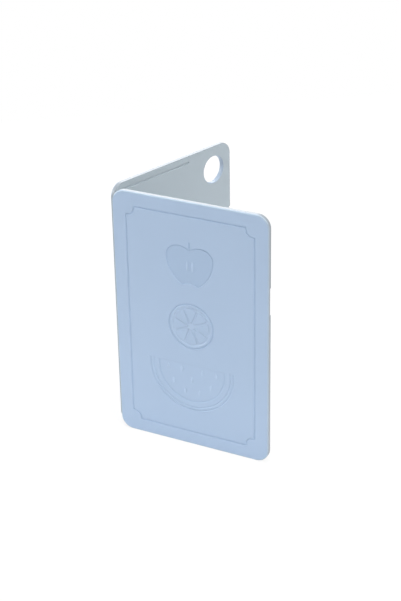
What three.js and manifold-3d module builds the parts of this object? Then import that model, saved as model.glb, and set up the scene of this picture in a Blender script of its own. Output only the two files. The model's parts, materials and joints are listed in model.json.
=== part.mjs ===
// Folding cutting board: two thin moulded leaves joined along one long edge by a film hinge.
// The board stands half open on its lower edges, like a book.
// Millimetres, +Z up. +X runs from the hinge to the opening, midway between the leaves.
// The front leaf lies towards -Y. The rear leaf, with the hanging hole, lies towards +Y.

import * as THREE from "three";
import { mergeVertices } from "three/addons/utils/BufferGeometryUtils.js";
import Module from "manifold-3d";

const manifold = await Module();
manifold.setup();

// Pose: degrees between the two leaves
const OPENING_ANGLE = 74;

// Leaves
const LEAF_HEIGHT = 220; // along the hinge
const LEAF_WIDTH = 139; // from the hinge axis to the free edge
const LEAF_THICKNESS = 4.2;
const CORNER_RADIUS = 11;
const OUTER_ROUND = 1; // rounded rim of the outer face
const INNER_BREAK = 0.4; // small bevel round the cutting face

// Film hinge
const HINGE_SETBACK = 0.8; // from the hinge axis to each leaf's hinge edge
const FACE_CLEARANCE = 0.3; // from the hinge axis to each cutting face
const FILM_THICKNESS = 0.4;
const FILM_CLEARANCE = 0.3; // between the film and each leaf
const FILM_BOW = 0.12; // how far the folded film bows away from the opening

// Hanging hole in the rear leaf's upper free corner
const HOLE_DIAMETER = 24;
const HOLE_RIM = 0.6; // bevel on both rims
const HOLE_EDGE_WALL = 8.8; // board left between the hole and each of the two edges

// Finger scoops in the free edges: ramps cut into the cutting faces
const SCOOP_LENGTH = 24;
const SCOOP_DEPTH = 1.6;
const SCOOP_REACH = 10; // from the free edge to where the ramp runs out
const SCOOP_TOP = 61; // from the leaf's top to the scoop's upper end

// Juice grooves round the cutting faces
const JUICE_WIDTH = 2;
const JUICE_DEPTH = 0.8;
const JUICE_MARGIN = 5.7; // from the leaf's edge to the middle of the groove
const JUICE_HINGE_GAP = 8; // from the hinge edge to the groove's end
const JUICE_SCOOP_GAP = 8; // from the scoop to the groove's end
const JUICE_HOLE_GAP = 19; // from the hole to the groove's end

// Line frame on the front leaf's outer face, with a stepped scallop at each corner
const FRAME_MARGIN = 12.3; // from the leaf's edge to the middle of the line
const FRAME_LINE = 1.3;
const FRAME_DEPTH = 0.6;
const SCALLOP_RADIUS = 5.8;
const SCALLOP_STEP = 1.6;

// Fruit figures on the front leaf's outer face: sunk lines, and fields that are sunk less deeply
const LINE_DEPTH = 0.5;
const FIELD_LINE = 0.9; // line along the rim of a field
const PIP_RISE = 0.25; // of a pip above the face

const APPLE_FRAME_GAP = 21.6; // from the frame's top line to the stem's tip
const APPLE_WIDTH = 42.6;
const APPLE_HEIGHT = 35; // from the feet to the crests of the two lobes
const APPLE_WAIST = 24.5; // from the feet up to the widest place
const APPLE_BELLY = new THREE.Vector2(20.6, 9.3); // pull of the curve from a foot to the waist
const APPLE_LOBE = 10; // from the core to the crest of a lobe
const APPLE_DIP = 4.2; // from the crests down to the stem's root
const APPLE_DIP_PULL = 3.5; // from the core to the pull of the curve down to the root
const APPLE_FOOT = 7; // from the core to a foot
const APPLE_NOTCH = 2.4; // rise between the two feet
const APPLE_STEM = 8;
const APPLE_STEM_WIDTH = 1.7;
const APPLE_DEPTH = 0.25; // of its field
const APPLE_PIP = new THREE.Vector2(1.9, 9.1);
const APPLE_PIP_OFFSET = 2.3; // from the core to the middle of a pip
const APPLE_PIP_RISE = 17.6; // from the feet to the middle of a pip

const CITRUS_RADIUS = 19.9; // to the middle of the outer line
const CITRUS_LINE = 1.2;
const CITRUS_RIND = 1.5; // from the outer line to the sunk disc
const CITRUS_DEPTH = 0.48; // of the disc that the segments stand in
const CITRUS_GAP = 1.7; // from the disc's rim to the segments
const CITRUS_SEGMENTS = 8;
const CITRUS_MEMBRANE = 1.5; // groove between two segments
const CITRUS_CORE = 2.2; // from the middle to the segments' tips
const CITRUS_SEGMENT_ROUND = 2.4;

const MELON_FRAME_GAP = 21.3; // from the frame's bottom line to the outer line
const MELON_RADIUS = 38; // to the middle of the outer line
const MELON_LINE = 1.2;
const MELON_LINE_DEPTH = 0.4;
const MELON_RIND = 7.3; // from the outer line to the flesh
const MELON_RIND_LINE = 0.9;
const MELON_RIND_LINE_INSET = 2.9; // from the outer line to the line inside the rind
const MELON_DEPTH = 0.2; // of its field
const MELON_CHORD = 3.8; // from the middle of the circle up to the straight cut
const MELON_PIP = new THREE.Vector2(2.2, 5.4);
const MELON_PIP_ROWS = [6, 3]; // pips in each row, from the rind inwards
const MELON_PIP_MARGIN = 8.7; // from the flesh's rim to the middle of the first row
const MELON_PIP_ROW_STEP = 12.5;
const MELON_PIP_LEAN = 1.4; // how far below the circle's middle a row starts and ends

// Facets
const CORNER_STEPS = 4;
const ROUND_STEPS = 3;
const CURVE_STEPS = 8;
const RING_STEPS = 36;
const ARC_STEPS = 40;
const CAP_STEPS = 5;
const OVERCUT = 1; // how far a cutter stands out of the face that it cuts
const PIP_ROOT = 0.5; // how far a pip reaches into the leaf that it stands on
const MERGE_DISTANCE = 1e-4;

// Sea-blue polypropylene, satin on the outside
const BOARD_COLOUR = 0xacc1da;
const BOARD_ROUGHNESS = 0.42;

// Places that follow from the sizes. A leaf is drawn in its own plane: x from the hinge axis to the
// free edge, y up, z through the thickness. FRONT and REAR give the side of the axis that it lies on.
const FRONT = 1;
const REAR = -1;
const INNER_FACE = FACE_CLEARANCE;
const OUTER_FACE = FACE_CLEARANCE + LEAF_THICKNESS;
const HALF_OPENING = THREE.MathUtils.degToRad(OPENING_ANGLE / 2);
const QUARTER_TURN = Math.PI / 2;

const HOLE_RADIUS = HOLE_DIAMETER / 2;
const HOLE_X = LEAF_WIDTH - HOLE_EDGE_WALL - HOLE_RADIUS;
const HOLE_Y = LEAF_HEIGHT - HOLE_EDGE_WALL - HOLE_RADIUS;
const SCOOP_UPPER = LEAF_HEIGHT - SCOOP_TOP;
const SCOOP_LOWER = SCOOP_UPPER - SCOOP_LENGTH;

const FRAME_LEFT = HINGE_SETBACK + FRAME_MARGIN;
const FRAME_RIGHT = LEAF_WIDTH - FRAME_MARGIN;
const FRAME_BOTTOM = FRAME_MARGIN;
const FRAME_TOP = LEAF_HEIGHT - FRAME_MARGIN;
const FIGURE_X = (FRAME_LEFT + FRAME_RIGHT) / 2;

const APPLE_ROOT = FRAME_TOP - APPLE_FRAME_GAP - APPLE_STEM;
const APPLE_BASE = APPLE_ROOT + APPLE_DIP - APPLE_HEIGHT;
const MELON_Y = FRAME_BOTTOM + MELON_FRAME_GAP + MELON_RADIUS;
const MELON_FLESH = MELON_RADIUS - MELON_RIND;
const CITRUS_Y = (APPLE_BASE + MELON_Y + MELON_CHORD) / 2;

// A closed geometry as a solid that can be cut and joined
function toSolid(geometry) {
  geometry.deleteAttribute("normal");
  geometry.deleteAttribute("uv");
  const merged = mergeVertices(geometry, MERGE_DISTANCE);
  const index = merged.index.array;
  const triangles = [];
  for (let i = 0; i < index.length; i += 3) {
    const [a, b, c] = index.slice(i, i + 3);
    if (a !== b && b !== c && c !== a) triangles.push(a, b, c);
  }
  return new manifold.Manifold(
    new manifold.Mesh({
      numProp: 3,
      vertProperties: merged.attributes.position.array,
      triVerts: new Uint32Array(triangles),
    }),
  );
}

function toGeometry(solid) {
  const mesh = solid.getMesh();
  const geometry = new THREE.BufferGeometry();
  geometry.setAttribute("position", new THREE.BufferAttribute(mesh.vertProperties, 3));
  geometry.setIndex(new THREE.BufferAttribute(mesh.triVerts, 1));
  geometry.computeVertexNormals();
  return geometry;
}

// A flat plate with the outline of a shape, between two heights
function plate(shape, from, to) {
  const settings = { depth: Math.abs(to - from), bevelEnabled: false, curveSegments: CURVE_STEPS };
  const geometry = new THREE.ExtrudeGeometry(shape, settings);
  geometry.translate(0, 0, Math.min(from, to));
  return toSolid(geometry);
}

// A closed skin through rings of points that lie one above the other, with flat ends
function loft(rings) {
  const count = rings[0].points.length;
  const top = (rings.length - 1) * count;
  const positions = rings.flatMap((ring) => ring.points.flatMap((p) => [p.x, p.y, ring.z]));
  const index = [];
  for (let layer = 0; layer < top; layer += count) {
    for (let i = 0; i < count; i++) {
      const here = layer + i;
      const next = layer + ((i + 1) % count);
      index.push(here, next, next + count, here, next + count, here + count);
    }
  }
  for (const [a, b, c] of THREE.ShapeUtils.triangulateShape(rings[0].points, [])) {
    index.push(a, c, b);
    index.push(top + a, top + b, top + c);
  }
  const geometry = new THREE.BufferGeometry();
  geometry.setAttribute("position", new THREE.Float32BufferAttribute(positions, 3));
  geometry.setIndex(index);
  return toSolid(geometry);
}

// The outline of a line of one width with round ends, drawn along a row of points
function stroke(points, width) {
  const sides = [[], []];
  const ends = [];
  points.forEach((point, i) => {
    const before = points[Math.max(i - 1, 0)];
    const after = points[Math.min(i + 1, points.length - 1)];
    const angle = Math.atan2(after.y - before.y, after.x - before.x);
    const across = new THREE.Vector2(-Math.sin(angle), Math.cos(angle)).multiplyScalar(width / 2);
    sides[0].push(point.clone().sub(across));
    sides[1].unshift(point.clone().add(across));
    ends.push(angle);
  });
  const cap = (centre, angle) => {
    const round = [];
    for (let step = 1; step < CAP_STEPS; step++) {
      const turn = angle - QUARTER_TURN + (Math.PI * step) / CAP_STEPS;
      round.push(
        new THREE.Vector2(Math.cos(turn), Math.sin(turn)).multiplyScalar(width / 2).add(centre),
      );
    }
    return round;
  };
  const farCap = cap(points.at(-1), ends.at(-1));
  const nearCap = cap(points[0], ends[0] + Math.PI);
  return new THREE.Shape([...sides[0], ...farCap, ...sides[1], ...nearCap]);
}

function circle(x, y, radius, shape = new THREE.Shape()) {
  return shape.absarc(x, y, radius, 0, 2 * Math.PI);
}

function arcPoints(x, y, radius, from, to) {
  const points = [];
  for (let step = 0; step <= ARC_STEPS; step++) {
    const angle = from + ((to - from) * step) / ARC_STEPS;
    points.push(new THREE.Vector2(x + radius * Math.cos(angle), y + radius * Math.sin(angle)));
  }
  return points;
}

// Leaf blank: a rounded rectangle with a small bevel on the cutting face and a rounded outer rim
function leafOutline(inset) {
  const radius = CORNER_RADIUS;
  const left = HINGE_SETBACK + radius;
  const right = LEAF_WIDTH - radius;
  const top = LEAF_HEIGHT - radius;
  const outline = new THREE.Shape();
  outline.absarc(left, radius, radius - inset, 2 * QUARTER_TURN, 3 * QUARTER_TURN);
  outline.absarc(right, radius, radius - inset, 3 * QUARTER_TURN, 4 * QUARTER_TURN);
  outline.absarc(right, top, radius - inset, 0, QUARTER_TURN);
  outline.absarc(left, top, radius - inset, QUARTER_TURN, 2 * QUARTER_TURN);
  return outline.getPoints(CORNER_STEPS);
}

function leafBlank(side) {
  const rings = [
    { points: leafOutline(INNER_BREAK), z: side * INNER_FACE },
    { points: leafOutline(0), z: side * (INNER_FACE + INNER_BREAK) },
  ];
  for (let step = 0; step <= ROUND_STEPS; step++) {
    const angle = (QUARTER_TURN * step) / ROUND_STEPS;
    rings.push({
      points: leafOutline(OUTER_ROUND * (1 - Math.cos(angle))),
      z: side * (OUTER_FACE - OUTER_ROUND * (1 - Math.sin(angle))),
    });
  }
  return loft(side === FRONT ? rings : rings.reverse());
}

// Cutters for the cutting face and for the outer face
function innerRecess(shape, depth, side) {
  return plate(shape, side * (INNER_FACE - OVERCUT), side * (INNER_FACE + depth));
}

function outerRecess(shape, depth) {
  return plate(shape, OUTER_FACE - depth, OUTER_FACE + OVERCUT);
}

// Finger scoop: a ramp that deepens towards the free edge
function fingerScoop(side) {
  const slope = SCOOP_DEPTH / SCOOP_REACH;
  const start = LEAF_WIDTH - SCOOP_REACH;
  const past = LEAF_WIDTH + OVERCUT;
  const ramp = new THREE.Shape([
    new THREE.Vector2(start, side * (INNER_FACE - OVERCUT)),
    new THREE.Vector2(past, side * (INNER_FACE - OVERCUT)),
    new THREE.Vector2(past, side * (INNER_FACE + slope * (past - start))),
    new THREE.Vector2(start, side * INNER_FACE),
  ]);
  const geometry = new THREE.ExtrudeGeometry(ramp, { depth: SCOOP_LENGTH, bevelEnabled: false });
  geometry.rotateX(QUARTER_TURN);
  geometry.translate(0, SCOOP_UPPER, 0);
  return toSolid(geometry);
}

// Hanging hole: a plug with flared ends, turned about the hole's axis
function hangingHole(side) {
  const flare = HOLE_RADIUS + HOLE_RIM;
  const profile = [
    new THREE.Vector2(0, INNER_FACE - OVERCUT),
    new THREE.Vector2(flare, INNER_FACE - OVERCUT),
    new THREE.Vector2(flare, INNER_FACE),
    new THREE.Vector2(HOLE_RADIUS, INNER_FACE + HOLE_RIM),
    new THREE.Vector2(HOLE_RADIUS, OUTER_FACE - HOLE_RIM),
    new THREE.Vector2(flare, OUTER_FACE),
    new THREE.Vector2(flare, OUTER_FACE + OVERCUT),
    new THREE.Vector2(0, OUTER_FACE + OVERCUT),
  ];
  const geometry = new THREE.LatheGeometry(profile, RING_STEPS);
  geometry.rotateX(side * QUARTER_TURN);
  geometry.translate(HOLE_X, HOLE_Y, 0);
  return toSolid(geometry);
}

// Juice groove: an upper and a lower run that leave the hinge, the scoop and the hole free
function juiceCorner(y, direction, end) {
  const bend = CORNER_RADIUS - JUICE_MARGIN;
  const x = LEAF_WIDTH - CORNER_RADIUS;
  const path = new THREE.Path();
  path.moveTo(HINGE_SETBACK + JUICE_HINGE_GAP, y);
  path.lineTo(x, y);
  const from = -direction * QUARTER_TURN;
  path.absarc(x, y + direction * bend, bend, from, 0, direction < 0);
  path.lineTo(LEAF_WIDTH - JUICE_MARGIN, end);
  return path.getPoints(CURVE_STEPS);
}

function lowerJuiceRun() {
  return juiceCorner(JUICE_MARGIN, 1, SCOOP_LOWER - JUICE_SCOOP_GAP);
}

function frontUpperJuiceRun() {
  return juiceCorner(LEAF_HEIGHT - JUICE_MARGIN, -1, SCOOP_UPPER + JUICE_SCOOP_GAP);
}

function rearUpperJuiceRun() {
  const y = LEAF_HEIGHT - JUICE_MARGIN;
  const end = HOLE_X - HOLE_RADIUS - JUICE_HOLE_GAP;
  return [new THREE.Vector2(HINGE_SETBACK + JUICE_HINGE_GAP, y), new THREE.Vector2(end, y)];
}

function juiceGroove(run, side) {
  return innerRecess(stroke(run, JUICE_WIDTH), JUICE_DEPTH, side);
}

// Line frame: straight runs that step in to a scallop about each corner
function frameOutline(inset) {
  const corners = [
    [FRAME_LEFT + SCALLOP_STEP, FRAME_BOTTOM + SCALLOP_STEP],
    [FRAME_RIGHT - SCALLOP_STEP, FRAME_BOTTOM + SCALLOP_STEP],
    [FRAME_RIGHT - SCALLOP_STEP, FRAME_TOP - SCALLOP_STEP],
    [FRAME_LEFT + SCALLOP_STEP, FRAME_TOP - SCALLOP_STEP],
  ];
  const radius = SCALLOP_RADIUS + inset;
  const step = SCALLOP_STEP - inset;
  const place = ([x, y], along, out) =>
    new THREE.Vector2(
      x + radius * Math.cos(along) + step * Math.cos(out),
      y + radius * Math.sin(along) + step * Math.sin(out),
    );
  const entry = (corner, turn) => place(corner, turn + QUARTER_TURN, turn + 2 * QUARTER_TURN);
  const leave = (corner, turn) => place(corner, turn, turn - QUARTER_TURN);
  const outline = new THREE.Shape();
  corners.forEach((corner, i) => {
    const turn = i * QUARTER_TURN;
    const before = entry(corner, turn);
    const after = leave(corner, turn);
    if (i > 0) outline.lineTo(before.x, before.y);
    outline.absarc(corner[0], corner[1], radius, turn + QUARTER_TURN, turn, true);
    outline.lineTo(after.x, after.y);
  });
  const close = entry(corners[0], 0);
  return outline.lineTo(close.x, close.y);
}

function frameLine() {
  const band = frameOutline(-FRAME_LINE / 2);
  band.holes.push(frameOutline(FRAME_LINE / 2));
  return outerRecess(band, FRAME_DEPTH);
}

// A pip: a small upright oval that stands on a sunk floor and rises above the face
function pip(x, y, size, depth) {
  const oval = new THREE.Shape().absellipse(x, y, size.x / 2, size.y / 2, 0, 2 * Math.PI);
  return plate(oval, OUTER_FACE - depth - PIP_ROOT, OUTER_FACE + PIP_RISE);
}

// Half apple: a field of simple curves on both sides of the core, a stem and two pips
function appleOutline(inset) {
  const x = FIGURE_X;
  const half = APPLE_WIDTH / 2 - inset;
  const base = APPLE_BASE + inset;
  const notch = base + APPLE_NOTCH;
  const waist = APPLE_BASE + APPLE_WAIST;
  const crest = APPLE_BASE + APPLE_HEIGHT - inset;
  const belly = APPLE_BELLY.x - inset;
  const bellyRise = base + APPLE_BELLY.y;
  const lobe = half - APPLE_LOBE;
  const outline = new THREE.Shape();
  outline.moveTo(x, notch);
  outline.quadraticCurveTo(x + APPLE_FOOT / 2, notch, x + APPLE_FOOT, base);
  outline.quadraticCurveTo(x + belly, bellyRise, x + half, waist);
  outline.absellipse(x + APPLE_LOBE, waist, lobe, crest - waist, 0, QUARTER_TURN);
  outline.quadraticCurveTo(x + APPLE_DIP_PULL, crest, x, crest - APPLE_DIP);
  outline.quadraticCurveTo(x - APPLE_DIP_PULL, crest, x - APPLE_LOBE, crest);
  outline.absellipse(x - APPLE_LOBE, waist, lobe, crest - waist, QUARTER_TURN, 2 * QUARTER_TURN);
  outline.quadraticCurveTo(x - belly, bellyRise, x - APPLE_FOOT, base);
  outline.quadraticCurveTo(x - APPLE_FOOT / 2, notch, x, notch);
  return outline;
}

function apple() {
  const line = appleOutline(0);
  line.holes.push(appleOutline(FIELD_LINE));
  const stem = stroke(
    [
      new THREE.Vector2(FIGURE_X, APPLE_ROOT - FIELD_LINE / 2),
      new THREE.Vector2(FIGURE_X, APPLE_ROOT + APPLE_STEM - APPLE_STEM_WIDTH / 2),
    ],
    APPLE_STEM_WIDTH,
  );
  return outerRecess(appleOutline(0), APPLE_DEPTH)
    .add(outerRecess(line, LINE_DEPTH))
    .add(outerRecess(stem, LINE_DEPTH));
}

function applePips() {
  const y = APPLE_BASE + APPLE_PIP_RISE;
  const left = pip(FIGURE_X - APPLE_PIP_OFFSET, y, APPLE_PIP, APPLE_DEPTH);
  const right = pip(FIGURE_X + APPLE_PIP_OFFSET, y, APPLE_PIP, APPLE_DEPTH);
  return left.add(right);
}

// Citrus wheel: an outer line, and a sunk disc in which the segments stand up to the face
function segment(middle) {
  const reach = CITRUS_RADIUS - CITRUS_LINE / 2 - CITRUS_RIND - CITRUS_GAP;
  const shoulder = reach - CITRUS_SEGMENT_ROUND;
  const half = (radius) => Math.PI / CITRUS_SEGMENTS - Math.asin(CITRUS_MEMBRANE / 2 / radius);
  const rim = half(reach) - CITRUS_SEGMENT_ROUND / reach;
  const at = (radius, angle) => [
    FIGURE_X + radius * Math.cos(middle + angle),
    CITRUS_Y + radius * Math.sin(middle + angle),
  ];
  const outline = new THREE.Shape();
  outline.moveTo(...at(CITRUS_CORE, 0));
  outline.lineTo(...at(shoulder, -half(shoulder)));
  outline.quadraticCurveTo(...at(reach, -half(reach)), ...at(reach, -rim));
  outline.absarc(FIGURE_X, CITRUS_Y, reach, middle - rim, middle + rim);
  outline.quadraticCurveTo(...at(reach, half(reach)), ...at(shoulder, half(shoulder)));
  return plate(outline, OUTER_FACE - CITRUS_DEPTH - OVERCUT, OUTER_FACE + 2 * OVERCUT);
}

function citrusWheel() {
  const inside = CITRUS_RADIUS - CITRUS_LINE / 2;
  const line = circle(FIGURE_X, CITRUS_Y, CITRUS_RADIUS + CITRUS_LINE / 2);
  line.holes.push(circle(FIGURE_X, CITRUS_Y, inside, new THREE.Path()));
  let disc = outerRecess(circle(FIGURE_X, CITRUS_Y, inside - CITRUS_RIND), CITRUS_DEPTH);
  for (let i = 0; i < CITRUS_SEGMENTS; i++) {
    disc = disc.subtract(segment((2 * Math.PI * i) / CITRUS_SEGMENTS));
  }
  return disc.add(outerRecess(line, LINE_DEPTH));
}

// Melon slice: two lines round the rind, and a field of flesh with a line along its rim
function melonArc(radius, chord) {
  const start = Math.asin(chord / radius);
  return arcPoints(FIGURE_X, MELON_Y, radius, -Math.PI - start, start);
}

function melonSlice() {
  const flesh = new THREE.Shape(melonArc(MELON_FLESH, MELON_CHORD));
  const lines = [
    stroke(melonArc(MELON_RADIUS, MELON_CHORD), MELON_LINE),
    stroke(melonArc(MELON_RADIUS - MELON_RIND_LINE_INSET, MELON_CHORD), MELON_RIND_LINE),
    stroke(melonArc(MELON_FLESH - FIELD_LINE, MELON_CHORD - FIELD_LINE), FIELD_LINE),
  ];
  return lines.reduce(
    (slice, line) => slice.add(outerRecess(line, MELON_LINE_DEPTH)),
    outerRecess(flesh, MELON_DEPTH),
  );
}

function melonPips() {
  const pips = MELON_PIP_ROWS.flatMap((count, row) => {
    const distance = MELON_FLESH - MELON_PIP_MARGIN - row * MELON_PIP_ROW_STEP;
    const lean = MELON_PIP_LEAN / distance;
    const turn = (Math.PI - 2 * lean) / (count - 1);
    return Array.from({ length: count }, (_, i) => {
      const angle = -Math.PI + lean + i * turn;
      const x = FIGURE_X + distance * Math.cos(angle);
      return pip(x, MELON_Y + distance * Math.sin(angle), MELON_PIP, MELON_DEPTH);
    });
  });
  return manifold.Manifold.union(pips);
}

// The two leaves
function frontLeaf() {
  return leafBlank(FRONT)
    .subtract(fingerScoop(FRONT))
    .subtract(juiceGroove(frontUpperJuiceRun(), FRONT))
    .subtract(juiceGroove(lowerJuiceRun(), FRONT))
    .subtract(frameLine())
    .subtract(apple())
    .subtract(citrusWheel())
    .subtract(melonSlice())
    .add(applePips())
    .add(melonPips());
}

function rearLeaf() {
  return leafBlank(REAR)
    .subtract(hangingHole(REAR))
    .subtract(fingerScoop(REAR))
    .subtract(juiceGroove(rearUpperJuiceRun(), REAR))
    .subtract(juiceGroove(lowerJuiceRun(), REAR));
}

// Film hinge: a thin strip between the bevels of the two hinge edges, bowed by the fold
function hingeFilm() {
  const along = HINGE_SETBACK + INNER_BREAK / 2;
  const through = INNER_FACE + INNER_BREAK / 2;
  const radius = Math.hypot(along, through);
  const angle = HALF_OPENING + Math.atan2(through, along);
  const x = radius * Math.cos(angle);
  const end = radius * Math.sin(angle) - FILM_CLEARANCE;
  const near = x - FILM_THICKNESS / 2;
  const far = x + FILM_THICKNESS / 2;
  const section = new THREE.Shape();
  section.moveTo(near, -end);
  section.lineTo(far, -end);
  section.quadraticCurveTo(far - 2 * FILM_BOW, 0, far, end);
  section.lineTo(near, end);
  section.quadraticCurveTo(near - 2 * FILM_BOW, 0, near, -end);
  return plate(section, CORNER_RADIUS, LEAF_HEIGHT - CORNER_RADIUS);
}

// Assembly
function boardMesh(name, solid) {
  const material = new THREE.MeshStandardMaterial({
    color: BOARD_COLOUR,
    roughness: BOARD_ROUGHNESS,
    metalness: 0,
  });
  const mesh = new THREE.Mesh(toGeometry(solid), material);
  mesh.name = name;
  return mesh;
}

// Stands a leaf drawn flat upright and turns it about the hinge axis
function stand(mesh, turn) {
  mesh.rotation.x = QUARTER_TURN;
  const upright = new THREE.Group();
  upright.add(mesh);
  upright.rotation.z = turn;
  return upright;
}

const hinged = new THREE.Group();
hinged.add(stand(boardMesh("front_leaf", frontLeaf()), -HALF_OPENING));
hinged.add(stand(boardMesh("rear_leaf", rearLeaf()), HALF_OPENING));
hinged.add(boardMesh("hinge_film", hingeFilm()));

// The origin lies on the base, under the middle of the standing board
hinged.updateMatrixWorld(true);
const reach = new THREE.Box3().setFromObject(hinged, true);
hinged.position.x = -(reach.min.x + reach.max.x) / 2;

const board = new THREE.Group();
board.name = "folding_cutting_board";
board.add(hinged);

export default board;
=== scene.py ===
# %% [markdown]
# # A folding cutting board
#
# The board is one moulding of pale blue polypropylene: two thin leaves, joined along a long edge by a
# flexing film, standing half open like a book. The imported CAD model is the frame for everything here.
# The frame could be rebuilt by eye, but loading it keeps every new surface on the solids that it stands for.

import json
import math

import bmesh
import bpy
import numpy as np
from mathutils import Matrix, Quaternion, Vector
from mathutils.geometry import delaunay_2d_cdt


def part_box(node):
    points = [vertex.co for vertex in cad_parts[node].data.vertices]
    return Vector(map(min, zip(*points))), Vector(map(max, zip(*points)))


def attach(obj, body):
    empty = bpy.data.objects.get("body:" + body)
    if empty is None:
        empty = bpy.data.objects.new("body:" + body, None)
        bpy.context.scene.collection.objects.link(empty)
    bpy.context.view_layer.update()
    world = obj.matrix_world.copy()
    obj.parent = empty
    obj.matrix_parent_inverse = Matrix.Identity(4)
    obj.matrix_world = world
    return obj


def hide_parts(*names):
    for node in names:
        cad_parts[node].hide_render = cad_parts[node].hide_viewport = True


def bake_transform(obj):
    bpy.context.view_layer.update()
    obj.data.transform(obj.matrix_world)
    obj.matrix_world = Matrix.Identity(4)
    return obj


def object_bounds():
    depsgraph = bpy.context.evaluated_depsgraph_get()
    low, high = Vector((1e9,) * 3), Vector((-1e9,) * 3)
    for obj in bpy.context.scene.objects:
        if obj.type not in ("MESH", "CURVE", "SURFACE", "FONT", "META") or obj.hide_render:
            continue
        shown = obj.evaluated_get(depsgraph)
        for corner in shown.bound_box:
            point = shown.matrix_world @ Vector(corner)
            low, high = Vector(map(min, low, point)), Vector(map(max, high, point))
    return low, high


MM = 0.001
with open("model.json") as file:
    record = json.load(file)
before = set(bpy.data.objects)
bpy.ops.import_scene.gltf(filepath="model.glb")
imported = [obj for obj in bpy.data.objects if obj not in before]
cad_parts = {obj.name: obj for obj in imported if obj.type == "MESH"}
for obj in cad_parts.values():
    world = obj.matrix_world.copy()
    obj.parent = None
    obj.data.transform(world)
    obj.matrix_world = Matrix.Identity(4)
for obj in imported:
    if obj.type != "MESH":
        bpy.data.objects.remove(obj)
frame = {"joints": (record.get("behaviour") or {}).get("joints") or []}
cad_low, cad_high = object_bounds()
scene = bpy.context.scene
fold = frame["joints"][0]
HINGE = Vector(fold["pos_m"])
HALF_OPENING = math.radians(-fold["range_deg"][0] / 2)
print("board box in mm:", [round(side / MM, 1) for side in cad_high - cad_low])

# %% [markdown]
# ## Camera
#
# A camera can be dragged until the picture looks right, or set from numbers. Here the numbers come from
# the vanishing of the leaves' edges: a long lens, a little above the board, turned slightly to its left.
# The roll is the small tilt of the horizon.

# %% Camera
CAMERA_AIM = Vector((14.29, -1.22, 111.79)) * MM
CAMERA_DISTANCE = 1233.1 * MM
CAMERA_AZIMUTH = math.radians(-9.398)
CAMERA_ELEVATION = math.radians(26.444)
CAMERA_ROLL = math.radians(-1.049)
CAMERA_LENS = 88.3  # for the 36 mm side of the sensor, the picture's long side


def camera_back(azimuth, elevation):
    level = math.cos(elevation)
    return Vector((math.sin(azimuth) * level, -math.cos(azimuth) * level, math.sin(elevation)))


def place_camera():
    camera = bpy.data.objects.new("camera", bpy.data.cameras.new("camera"))
    scene.collection.objects.link(camera)
    back = camera_back(CAMERA_AZIMUTH, CAMERA_ELEVATION)
    camera.location = CAMERA_AIM + back * CAMERA_DISTANCE
    camera.rotation_mode = "QUATERNION"
    camera.rotation_quaternion = back.to_track_quat("Z", "Y") @ Quaternion((0, 0, 1), CAMERA_ROLL)
    camera.data.lens = CAMERA_LENS
    return camera


scene.camera = place_camera()
print("camera at", [round(v, 3) for v in scene.camera.location])

# %% [markdown]
# ## Studio
#
# The board stands on a white table under soft boxes. A wide box overhead lights the table, which sends
# light back to the lower half of the board. A box in front, to the right, reaches the rear leaf, one at the
# left lights the decorated leaf and its hinge edge, and one behind gives the upper edges their bright line.
# One lamp would be simpler, but it leaves either the rear leaf or the left edge dark. The table is really
# lit, so that it keeps the board's shadow, and rays from the camera also see a white glow there.

# %% White world
scene.view_settings.view_transform = "Standard"
WORLD_LIGHT = 0.24
WORLD_TINT = (1.0, 0.99, 0.97, 1)
WHITE = (1, 1, 1, 1)


def seen_rays(nodes, links):
    """1 for rays from the camera, from a mirror and through glass, and 0 for the light on the board."""
    path = nodes.new("ShaderNodeLightPath")
    seen = path.outputs["Is Camera Ray"]
    for ray in ("Is Glossy Ray", "Is Transmission Ray"):
        either = nodes.new("ShaderNodeMath")
        either.operation = "MAXIMUM"
        links.new(seen, either.inputs[0])
        links.new(path.outputs[ray], either.inputs[1])
        seen = either.outputs[0]
    return seen


def white_world():
    world = bpy.data.worlds.new("studio")
    world.use_nodes = True
    nodes, links = world.node_tree.nodes, world.node_tree.links
    nodes.clear()
    output = nodes.new("ShaderNodeOutputWorld")
    mix = nodes.new("ShaderNodeMixShader")
    lighting = nodes.new("ShaderNodeBackground")
    lighting.inputs["Color"].default_value = WORLD_TINT
    lighting.inputs["Strength"].default_value = WORLD_LIGHT
    shown = nodes.new("ShaderNodeBackground")
    shown.inputs["Color"].default_value = WHITE
    shown.inputs["Strength"].default_value = 1.0
    links.new(seen_rays(nodes, links), mix.inputs[0])
    links.new(lighting.outputs[0], mix.inputs[1])
    links.new(shown.outputs[0], mix.inputs[2])
    links.new(mix.outputs[0], output.inputs["Surface"])
    return world


scene.world = white_world()
print("world lights the board with strength", WORLD_LIGHT)

# %% Floor
PAPER = (0.86, 0.86, 0.86, 1)
FLOOR_GLOW = 0.86  # share of white that the camera sees in place of the lit paper
FLOOR_SIZE = 1.6


def floor_finish():
    material = bpy.data.materials.new("white_floor")
    material.use_nodes = True
    nodes, links = material.node_tree.nodes, material.node_tree.links
    nodes.clear()
    output = nodes.new("ShaderNodeOutputMaterial")
    paper = nodes.new("ShaderNodeBsdfDiffuse")
    paper.inputs["Color"].default_value = PAPER
    glow = nodes.new("ShaderNodeEmission")
    mix = nodes.new("ShaderNodeMixShader")
    share = nodes.new("ShaderNodeMath")
    share.operation = "MULTIPLY"
    share.inputs[1].default_value = FLOOR_GLOW
    links.new(seen_rays(nodes, links), share.inputs[0])
    links.new(share.outputs[0], mix.inputs[0])
    links.new(paper.outputs[0], mix.inputs[1])
    links.new(glow.outputs[0], mix.inputs[2])
    links.new(mix.outputs[0], output.inputs["Surface"])
    return material


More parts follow.
